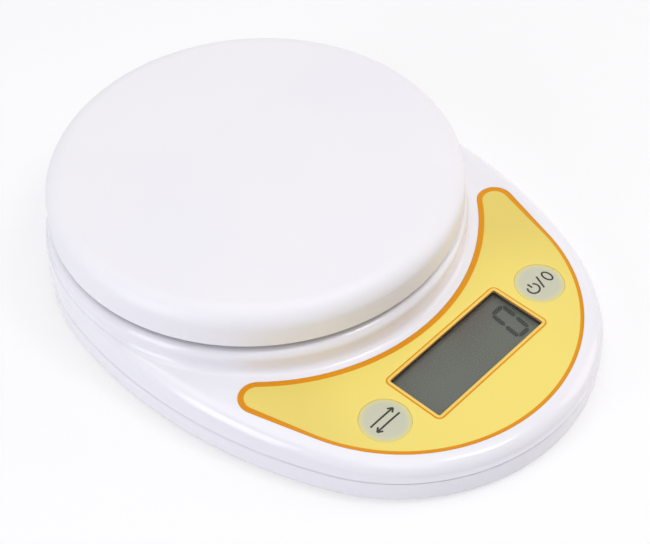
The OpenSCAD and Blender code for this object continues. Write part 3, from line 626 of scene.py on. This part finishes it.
def shell_section(turn):
    """Distance from the axis and height, all along the section in one direction."""
    room = reach(turn, 0) - DRUM_R
    lean, shoulder = min(LEAN, 0.1 * room), min(ROUND_W, 0.5 * room)
    sweep, bend = min(SWEEP, 0.35 * room), DRUM_EDGE - WALL
    deck_z = deck_at(reach(turn, lean + shoulder) * math.sin(turn))
    foot_z = deck_at((DRUM_R + sweep) * math.sin(turn))
    in_w = lean + max(shoulder, WALL + LEAST_ROUND)
    in_z = deck_at(reach(turn, in_w) * math.sin(turn)) - WALL
    in_r = min(DRUM_R + sweep, reach(turn, in_w) - 0.2)
    drum = [(DRUM_R - DRUM_EDGE * (1 - math.cos(a)), DRUM_TOP - DRUM_EDGE * (1 - math.sin(a)))
            for a in angles(90, 0, 8)]
    hollow = [(DRUM_R + sweep * (1 - math.cos(a)), foot_z + SWEEP * (1 - math.sin(a)))
              for a in angles(0, 90, 10)]
    side = [(reach(turn, lean + shoulder * (1 - math.cos(a))), deck_z - ROUND_H * (1 - math.sin(a)))
            for a in angles(90, 0, 12)]
    seam = [(reach(turn, 0.0), SEAM_Z + GROOVE + SEAM_EDGE),
            (reach(turn, SEAM_EDGE), SEAM_Z + GROOVE), (reach(turn, WALL), SEAM_Z + GROOVE)]
    inside = [(reach(turn, WALL), LIP_TOP), (reach(turn, lean + WALL), deck_z - ROUND_H),
              (reach(turn, in_w - 0.7 * (in_w - lean - WALL)), in_z - 0.3 * (ROUND_H - WALL)),
              (reach(turn, in_w), in_z)]
    under_hollow = [(in_r - (in_r - DRUM_R + WALL) * math.cos(a),
                     foot_z + SWEEP - (SWEEP + WALL) * math.sin(a)) for a in angles(90, 0, 4)]
    under_drum = [(DRUM_R - WALL - bend * (1 - math.cos(a)),
                   DRUM_TOP - WALL - bend * (1 - math.sin(a))) for a in angles(0, 90, 3)]
    return drum + hollow + side + seam + inside + under_hollow + under_drum


print("points in a section:", len(shell_section(0)))

# %% [markdown]
# The panel's crescent is drawn by four arcs and two short straights: a wide arc in front, one
# along the platform, and a tight one at each horn. The same outline, drawn in by different
# amounts, gives the recess in the deck, the film and the inner edge of its orange border.

# %% The crescent outline
CRESCENT_IN, CRESCENT_FRONT, CRESCENT_REACH = 82.9, 67.2, 135.8
HORN_R, HORN_ANGLE = 7.0, math.radians(43.8)


def crescent(front_in, back_in):
    """The crescent in the panel's frame, drawn in by front_in at its front, back_in elsewhere."""
    horn = (CRESCENT_IN + HORN_R) * Vector((math.cos(HORN_ANGLE), -math.sin(HORN_ANGLE)))
    centre = Vector((0, CRESCENT_FRONT - CRESCENT_REACH))
    big, small = CRESCENT_FRONT - front_in, HORN_R - back_in
    line = horn - centre
    turn = math.atan2(line.y, line.x) - math.acos((big - small) / line.length)
    half = []
    for arc_centre, radius, first, last, steps in (
            (centre, big, -math.pi / 2, turn, 40), (horn, small, turn, math.pi - HORN_ANGLE, 18),
            (Vector((0, 0)), CRESCENT_IN + back_in, -HORN_ANGLE, -math.pi / 2, 28)):
        for i in range(steps + 1):
            t = first + (last - first) * i / steps
            half.append(arc_centre + radius * Vector((math.cos(t), math.sin(t))))
    points = half + [Vector((-p.x, p.y)) for p in half[-2:0:-1]]
    return [(p.x, p.y + PANEL_Y) for p in points]


print("width of the crescent, mm:", round(2 * max(x for x, y in crescent(0, 0)), 1))

# %% [markdown]
# With its section and the crescent known, the shell is grown all the way round. Then everything
# that a mould's cores leave open is cut: the recess for the film, the window's opening with a
# wider seat for the clear plate, the key holes, and the slot in the drum's top through which the
# platform's foot reaches the load cell.

# %% Grow the upper shell and cut its openings
TURNS = 192
RECESS_ROOM, SEAT_ROOM, SEAT_CORNER, SEAT_DEPTH = 0.1, 2, 1.5, 1.2
THROUGH, ABOVE = 4, 2  # how far a cutting block goes below and above the deck
SLOT_X, SLOT_W, SLOT_D, SLOT_CORNER, SLOT_LOW, SLOT_HIGH = 27.5, 33, 21, 3, 25, 35
window_line = round_rect(WINDOW_W, WINDOW_D, WINDOW_CORNER, 0)
seat_line = round_rect(WINDOW_W + SEAT_ROOM, WINDOW_D + SEAT_ROOM, SEAT_CORNER, 0)
key_lines = [circle(KEY_R, 0, (x, KEY_Y)) for x in (-KEY_X, KEY_X)]


def block(outline, depth):
    """A block to cut with, from a depth under the panel to above it."""
    return place(plate("block", outline, -depth, ABOVE), PANEL)


turns = [2 * math.pi * i / TURNS for i in range(TURNS)]
sections = [shell_section(t) for t in turns]
shell = grown("upper_shell_moulding", [
    [(s[k][0] * math.cos(t), s[k][0] * math.sin(t), s[k][1]) for s, t in zip(sections, turns)]
    for k in range(len(sections[0]))])
place(shell, ABOUT_AXIS)
cut(shell, block(crescent(-RECESS_ROOM, -RECESS_ROOM), FILM_T))
cut(shell, block(window_line, THROUGH))
cut(shell, block(seat_line, SEAT_DEPTH))
for key_line in key_lines:
    cut(shell, block(key_line, THROUGH))
slot_line = round_rect(SLOT_W, SLOT_D, SLOT_CORNER, 0)
slot_at = ABOUT_AXIS @ Matrix.Translation(Vector((SLOT_X, 0, 0)) * MM)
cut(shell, place(plate("foot_slot", slot_line, SLOT_LOW, SLOT_HIGH), slot_at))
soften(shell, angle=65)
shell.data.materials.append(white_abs)
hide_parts("upper_shell")
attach(shell, "scale_body")
print("upper shell faces:", len(shell.data.polygons))

# %% [markdown]
# ## The base shell
#
# The solid model's base is right in shape, with its screw wells, foot recesses and battery bay.
# Its mesh is loose triangles, so a copy is merged and shaded smooth, with creases kept. The edges
# round the flat faces of the underside are marked as creases first. Without that, the long thin
# triangles of the flats would be shaded with streaks.

# %% Merge and soften a copy of the base
base = nodes["base_shell"].copy()
base.data = nodes["base_shell"].data.copy()
base.name = base.data.name = "base_shell_moulding"
base.parent = None
for key in list(base.keys()):
    del base[key]
bpy.context.scene.collection.objects.link(base)
only(base)
bpy.ops.object.mode_set(mode="EDIT")
bpy.ops.mesh.select_all(action="SELECT")
bpy.ops.mesh.remove_doubles(threshold=0.002 * MM)
pick(base, "EDGE", lambda edge: len({face.normal.z < -0.9999 for face in edge.link_faces}) == 2)
bpy.ops.mesh.mark_sharp()
bpy.ops.object.mode_set(mode="OBJECT")
soften(base, angle=25)
base.data.materials.clear()
base.data.materials.append(white_abs)
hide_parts("base_shell")
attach(base, "scale_body")
print("base shell faces:", len(base.data.polygons))

# %% [markdown]
# ## The printed film
#
# The film is one piece: a crescent with an opening for the window and one for each key. Its top
# is grown in two steps, the orange border first and the yellow field inside it, so that the ink
# colours meet along a true edge. The border is wide at the platform's side and narrow in front.

# %% Model the film
BORDER_FRONT, BORDER_BACK, FILM_EDGE = 1.3, 2.1, 0.06
film_lines = [(crescent(0, 0), -FILM_T), (crescent(0, 0), -FILM_EDGE),
              (crescent(FILM_EDGE, FILM_EDGE), 0), (crescent(BORDER_FRONT, BORDER_BACK), 0)]
film = grown("panel_film", [[(x, y, height) for x, y in line] for line, height in film_lines])
film.data.materials.append(yellow_ink)
film.data.materials.append(orange_ink)
for face in film.data.polygons:
    face.material_index = 0 if len(face.vertices) > 4 and face.normal.z > 0.9 else 1
place(film, PANEL)
for opening in (window_line, *key_lines):
    cut(film, block(opening, ABOVE))
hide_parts("panel_overlay")
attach(film, "scale_body")
print("film faces:", len(film.data.polygons))

# %% [markdown]
# A raised bead runs round the window and hides the film's cut edge. It is a small half round with
# a flat outer foot. Its top is a lighter amber: partly the bead's own colour, partly a painted
# highlight. Its foot and its inner side are orange like the border, so the window seems drawn with
# a double line. Under the clear plate a dark brown foam ring lines the opening; its dark colour is
# painted shade on the walls of the window's recess.

# %% Model the bead and the gasket
# Each line runs round the window, at a distance outside its opening and at a height.
BEAD = [(1.35, 0.0), (1.33, 0.08), (0.78, 0.14), (0.72, 0.22), (0.3, 0.28), (-0.1, 0.22),
        (-0.22, 0.14), (-0.34, 0.02), (-0.35, -0.38), (0.0, -0.38), (0.0, -0.02)]
# The lines of a dark ring that puts painted shade on the walls of the window's recess.
SHADE_GASKET = [(-0.05, -1.25), (-0.35, -1.25), (-0.35, -2.38), (-0.05, -2.38)]
# Where the bead's top takes the lighter amber with its painted highlight: between two distances
# outside the window's opening, and above a height.
AMBER_FROM, AMBER_TO, AMBER_UP = -0.3, 0.76, 0.1


def frame_ring(name, steps):
    """A frame round the window, through lines that are given as in BEAD."""
    rings = [round_rect(WINDOW_W + 2 * out, WINDOW_D + 2 * out, max(0.3, WINDOW_CORNER + out), up)
             for out, up in steps]
    return place(grown(name, rings, ends="joined"), PANEL)


def outside_window(spot):
    """How far a spot lies outside the window's opening, measured round its corners too."""
    aside = Vector((max(abs(spot.x) / MM - WINDOW_W / 2 + WINDOW_CORNER, 0),
                    max(abs(spot.y) / MM - WINDOW_D / 2 + WINDOW_CORNER, 0)))
    return aside.length - WINDOW_CORNER


bead = frame_ring("window_bead", BEAD)
bead.data.materials.append(amber_and_highlight_ink)
bead.data.materials.append(orange_ink)
# Faces on the bead's top take the amber with its painted highlight; the rest is orange print.
for face in bead.data.polygons:
    spot = PANEL.inverted() @ face.center
    amber = AMBER_FROM < outside_window(spot) < AMBER_TO and spot.z > AMBER_UP * MM
    face.material_index = 0 if amber else 1
soften(bead, angle=60)
# A dark ring of painted shade round the display, under the clear plate.
shade_gasket = frame_ring("window_shade_gasket", SHADE_GASKET)
shade_gasket.data.materials.append(recess_shade_foam)
for piece, slot in ((bead, "panel_film"), (shade_gasket, "strip_rubber")):
    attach(piece, "scale_body")
print("bead faces:", len(bead.data.polygons), "gasket faces:", len(shade_gasket.data.polygons))

# %% [markdown]
# ## The keys
#
# Each key is a soft round cap with a gentle crown and a flange that holds it under the deck. A
# stack of circles gives the cap.

# %% Model the key caps
CROWN, FLANGE_Z, FLANGE_T, FLANGE_W = 0.4, -3.1, 0.8, 0.6
CAP_R, CAP_EDGE = KEY_R - 0.05, 0.12
CROWN_STEPS = (0.985, 0.95, 0.88, 0.78, 0.65, 0.5, 0.33, 0.16)
dome_r = (CAP_R ** 2 + CROWN ** 2) / (2 * CROWN)


def crown_at(radius):
    """Height of a key's crown at a distance from its middle."""
    return CROWN - dome_r + math.sqrt(dome_r ** 2 - radius ** 2)


def key_cap(name, x, finish, node, body):
    """A key's cap, from its flange to the middle of its crown."""
    stack = [(KEY_R + FLANGE_W, FLANGE_Z), (KEY_R + FLANGE_W, FLANGE_Z + FLANGE_T),
             (CAP_R, FLANGE_Z + FLANGE_T), (CAP_R, -CAP_EDGE)]
    stack += [(CAP_R * share, crown_at(CAP_R * share)) for share in CROWN_STEPS]
    cap = place(grown(name, [circle(radius, up, (x, KEY_Y)) for radius, up in stack]), PANEL)
    soften(cap, angle=40)
    cap.data.materials.append(finish)
    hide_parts(node)
    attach(cap, body)
    print(name, "faces:", len(cap.data.polygons))


key_cap("unit_key_cap", -KEY_X, unit_key_finish, "unit_button", "unit_key")
key_cap("power_key_cap", KEY_X, power_key_finish, "power_button", "power_key")

# %% [markdown]
# A generic sign is printed on each key: two opposite arrows on the one that changes the unit, and
# a standby ring, a stroke and a nought on the one that switches on and sets to zero. Printed ink
# is a thin film that follows the crown. Each stroke is a strip of small steps, because a single
# flat face would sink into the curved cap.

# %% Helpers for printing on a key
INK_W, INK_UP, INK_DOWN = 0.7, 0.03, 0.05  # a stroke's width, and how far it stands out and goes in


def stroke(points, width):
    """The two sides of a stroke of even width at each point along a line."""
    line = [Vector(point) for point in points]
    sides = []
    for i, point in enumerate(line):
        way = (line[min(i + 1, len(line) - 1)] - line[max(i - 1, 0)]).normalized()
        aside = Vector((-way.y, way.x)) * width / 2
        sides.append((point + aside, point - aside))
    return sides


def bow(centre, width, height, first, last, steps=24):
    """Points along a part of an ellipse, with its first and last angle in degrees."""
    return [(centre[0] + width / 2 * math.cos(a), centre[1] + height / 2 * math.sin(a))
            for a in angles(first, last, steps)]


def straight(start, end, steps=12):
    """Points along a straight line."""
    return [Vector(start).lerp(Vector(end), i / steps) for i in range(steps + 1)]


def printed(name, lines, x, body):
    """Thin ink strokes that lie on the crown of a key, joined to one piece."""
    parts = []
    for i, line in enumerate(lines):
        rings = [[(x + p.x, KEY_Y + p.y, crown_at(p.length) + lift)
                  for p, lift in ((left, -INK_DOWN), (left, INK_UP),
                                  (right, INK_UP), (right, -INK_DOWN))]
                 for left, right in stroke(line, INK_W)]
        parts.append(grown(f"{name}_{i}", rings))
    ink = place(joined(name, parts), PANEL)
    ink.data.materials.append(dark_ink)
    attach(ink, body)
    print(name, "faces:", len(ink.data.polygons))


# %% [markdown]
# Each arrow is a shaft with two short strokes for its head. The standby ring is open at the top,
# where a short stroke stands in the gap, and the nought is drawn in two halves.

# %% Print the signs
ARROW_X, ARROW_Y, HEAD_L, HEAD_W = 5.8, 1.5, 1.8, 1.2
arrows = []
for way in (1, -1):
    tip = Vector((ARROW_X * way, ARROW_Y * way))
    arrows += [straight((-ARROW_X * way, ARROW_Y * way), tip, 24),
               straight(tip - Vector((HEAD_L * way, HEAD_W)), tip, 6),
               straight(tip - Vector((HEAD_L * way, -HEAD_W)), tip, 6)]
printed("unit_key_sign", arrows, -KEY_X, "unit_key")

RING_X, RING_Y, SIGN_H = -3.7, -0.2, 4.5
SLASH_LOW, SLASH_HIGH = (-0.7, -2.7), (1.5, 2.7)
NOUGHT_AT, NOUGHT_W = (4.5, 0), 2.9
printed("power_key_sign", [
    bow((RING_X, RING_Y), SIGN_H, SIGN_H, 130, 410), straight((RING_X, 0.5), (RING_X, 2.7), 5),
    straight(SLASH_LOW, SLASH_HIGH), bow(NOUGHT_AT, NOUGHT_W, SIGN_H, 0, 180),
    bow(NOUGHT_AT, NOUGHT_W, SIGN_H, 180, 360)], KEY_X, "power_key")

# %% [markdown]
# ## The display's digit
#
# Seven slanted bars make a digit, each pointed at both ends so that neighbours mitre. The empty
# scale shows a nought, which lights six of them. A lit bar has no thickness in a real display, so
# it is as thin a plate as the picture needs, on the top of the glass.

# %% Model the lit bars
DIGIT_X, DIGIT_Y, DIGIT_W, DIGIT_H, BAR_T, BAR_GAP, SLANT = 22.9, -1.4, 5.9, 13.4, 1.75, 0.35, 0.12
GLASS_TOP, BAR_UP = -2.4, 0.02


def segment(x, y, length, upright):
    """A pointed bar in the middle of its place, before the slant."""
    h, t = length / 2, BAR_T / 2
    flat = [(-h, 0), (-h + t, -t), (h - t, -t), (h, 0), (h - t, t), (-h + t, t)]
    return [(x + py, y + px) if upright else (x + px, y + py) for px, py in flat]


half_w, half_h = DIGIT_W / 2, DIGIT_H / 2
bars = [segment(0, level, DIGIT_W - BAR_GAP, False) for level in (half_h, -half_h)]
bars += [segment(side, level, half_h - BAR_GAP, True)
         for side in (-half_w, half_w) for level in (-half_h / 2, half_h / 2)]
parts = [plate(f"bar_{i}", [(DIGIT_X + x + SLANT * y, DIGIT_Y + y) for x, y in outline],
               GLASS_TOP - BAR_UP, GLASS_TOP + BAR_UP) for i, outline in enumerate(bars)]
digit = place(joined("display_digit", parts), PANEL)
digit.data.materials.append(segment_ink)
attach(digit, "scale_body")
print("bars lit:", len(bars))

# %% [markdown]
# ## Finishes of the solid pieces that stay
#
# The other pieces of the solid model already have their shape. Each takes its finish here.

# %% Dress the solid pieces
finishes = {
    "platform_carrier": inner_abs, "carrier_screws": zinc, "shell_screws": zinc,
    "rubber_feet": foot_rubber, "display_window": clear, "display_glass": crystal,
    "display_frame": inner_abs, "contact_strip": strip_rubber, "circuit_board": board_mask,
    "controller_chip": resin, "board_parts": mixed_parts, "board_screws": zinc,
    "key_switches": black_abs, "unit_switch_plunger": black_abs,
    "power_switch_plunger": black_abs, "load_cell": milled, "strain_gauges": foil,
    "gauge_sealant": sealant, "load_cell_screws": zinc, "load_cell_wires": sleeve,
    "battery_door": white_abs, "battery_cells": cell_sleeve, "battery_springs": nickel,
    "battery_plates": nickel, "battery_wires": sleeve,
}
for name, finish in finishes.items():
    node = nodes[name]
    node.data.materials.clear()
    node.data.materials.append(finish)
print("dressed", len(finishes), "solid pieces")

# %% [markdown]
# ## The studio
#
# The scale stands on a white table, as in a catalogue picture. The part of the table that the
# camera sees glows, so that it comes out white while the contact shadow stays. The glow grows with
# the distance from the scale, so a low view shows no grey band behind it. What falls back from the
# table onto the scale is plain diffuse light.

# %% Table
TABLE_SIZE = 6  # metres
SHADOW_ENDS, WHITE_FROM = 0.3, 1.0  # metres from the scale
GLOW_NEAR, GLOW_FAR = 0.55, 1.0  # share of the glow in what the camera sees


def sees_backdrop(tree):
    """1 for rays that show the backdrop: from the camera, off a gloss or through a clear piece."""
    path = add(tree, "ShaderNodeLightPath")
    sharp = add(tree, "ShaderNodeMath", {0: path.outputs["Is Glossy Ray"],
                                         1: path.outputs["Is Transmission Ray"]},
                operation="MAXIMUM")
    either = add(tree, "ShaderNodeMath", {0: path.outputs["Is Camera Ray"], 1: sharp.outputs[0]},
                 operation="MAXIMUM")
    return either.outputs[0]


bpy.ops.object.select_all(action="DESELECT")
bpy.ops.mesh.primitive_plane_add(size=TABLE_SIZE, location=(0, 0, 0))
table = bpy.context.object
table.name = "table"
table_finish = bpy.data.materials.new("white table")
table_finish.use_nodes = True
tree = table_finish.node_tree
tree.nodes.clear()
bounced = add(tree, "ShaderNodeBsdfDiffuse", Color=(0.9, 0.9, 0.92, 1))
shaded = add(tree, "ShaderNodeBsdfDiffuse", Color=(0.98, 0.98, 0.98, 1))
glow = add(tree, "ShaderNodeEmission", Color=(1, 1, 1, 1), Strength=1.0)
here = add(tree, "ShaderNodeTexCoord").outputs["Object"]
distance = add(tree, "ShaderNodeVectorMath", {0: here}, operation="LENGTH")
whiter = add(tree, "ShaderNodeMapRange", {"Value": distance.outputs["Value"]},
             From_Min=SHADOW_ENDS, From_Max=WHITE_FROM, To_Min=GLOW_NEAR, To_Max=GLOW_FAR)
seen = add(tree, "ShaderNodeMixShader", {0: whiter.outputs["Result"], 1: shaded.outputs[0],
                                         2: glow.outputs[0]})
choice = add(tree, "ShaderNodeMixShader", {0: sees_backdrop(tree), 1: bounced.outputs[0],
                                           2: seen.outputs[0]})
add(tree, "ShaderNodeOutputMaterial", {"Surface": choice.outputs[0]})
table.data.materials.append(table_finish)
print("table nodes:", len(tree.nodes))

# %% [markdown]
# The world is a soft white room. It shines on the scale more from the back right than from the
# front left, which models the forms, and it shows plain white wherever the camera or a reflection
# looks past the table.

# %% World
BRIGHT_SIDE = (0.72, 0.69, 0)
DIM, BRIGHT = 0.22, 0.66  # strength at the far side, and at the bright one

world = bpy.data.worlds.new("soft studio")
bpy.context.scene.world = world
world.use_nodes = True
tree = world.node_tree
tree.nodes.clear()
here = add(tree, "ShaderNodeTexCoord").outputs["Generated"]
facing = add(tree, "ShaderNodeVectorMath", {0: here}, operation="DOT_PRODUCT")
facing.inputs[1].default_value = BRIGHT_SIDE
falloff = add(tree, "ShaderNodeMapRange", {"Value": facing.outputs["Value"]},
              From_Min=-1.0, From_Max=1.0, To_Min=DIM, To_Max=BRIGHT)
studio = add(tree, "ShaderNodeBackground", {"Strength": falloff.outputs["Result"]},
             Color=paint("#F6F4FA"))
plain = add(tree, "ShaderNodeBackground", Color=(1, 1, 1, 1), Strength=1.0)
choice = add(tree, "ShaderNodeMixShader", {0: sees_backdrop(tree), 1: studio.outputs[0],
                                           2: plain.outputs[0]})
add(tree, "ShaderNodeOutputWorld", {"Surface": choice.outputs[0]})
print("world light, from", DIM, "to", BRIGHT)

# %% [markdown]
# The lamps are soft boxes. A large one overhead lights the platform and the deck, and two windows
# light the flanks, so that the white plastic stays just under pure white. A lamp in front lifts
# the near walls a little. The small bright lamp is there for its reflection: it draws the
# highlight streaks on the shell's shoulder and on the sweep.

# %% Lamps
def lamp(name, place_at, aim, size, power, tint):
    """A soft rectangular lamp that points at a place, in metres and watts."""
    data = bpy.data.lights.new(name, "AREA")
    data.shape, data.size, data.size_y, data.energy = "RECTANGLE", size[0], size[1], power
    data.color = paint(tint)[:3]
    made = bpy.data.objects.new(name, data)
    bpy.context.scene.collection.objects.link(made)
    made.location = place_at
    made.rotation_euler = (Vector(aim) - Vector(place_at)).to_track_quat("-Z", "Y").to_euler()
    print(name, "at", place_at, "with", power, "W")


lamp("overhead lamp", (0.0, 0.0, 1.2), (0, 0, 0), (1.2, 1.2), 4.5, "#FFFFFF")
lamp("small bright lamp", (0.2, -0.4, 0.95), (-0.03, -0.06, 0.02), (0.16, 0.3), 1.5, "#FFFFFF")
lamp("front lamp", (-0.5, -0.6, 1.0), (0, 0, 0.02), (0.6, 0.6), 1.2, "#FFF6F9")
lamp("left window", (-1.1, 0.15, 0.4), (0, 0, 0.02), (0.5, 0.9), 4.7, "#F3F4FF")
lamp("right window", (0.85, -0.6, 0.4), (0, 0, 0.02), (0.5, 0.9), 2.4, "#FFF0F2")
bpy.context.scene.view_settings.view_transform = "Standard"
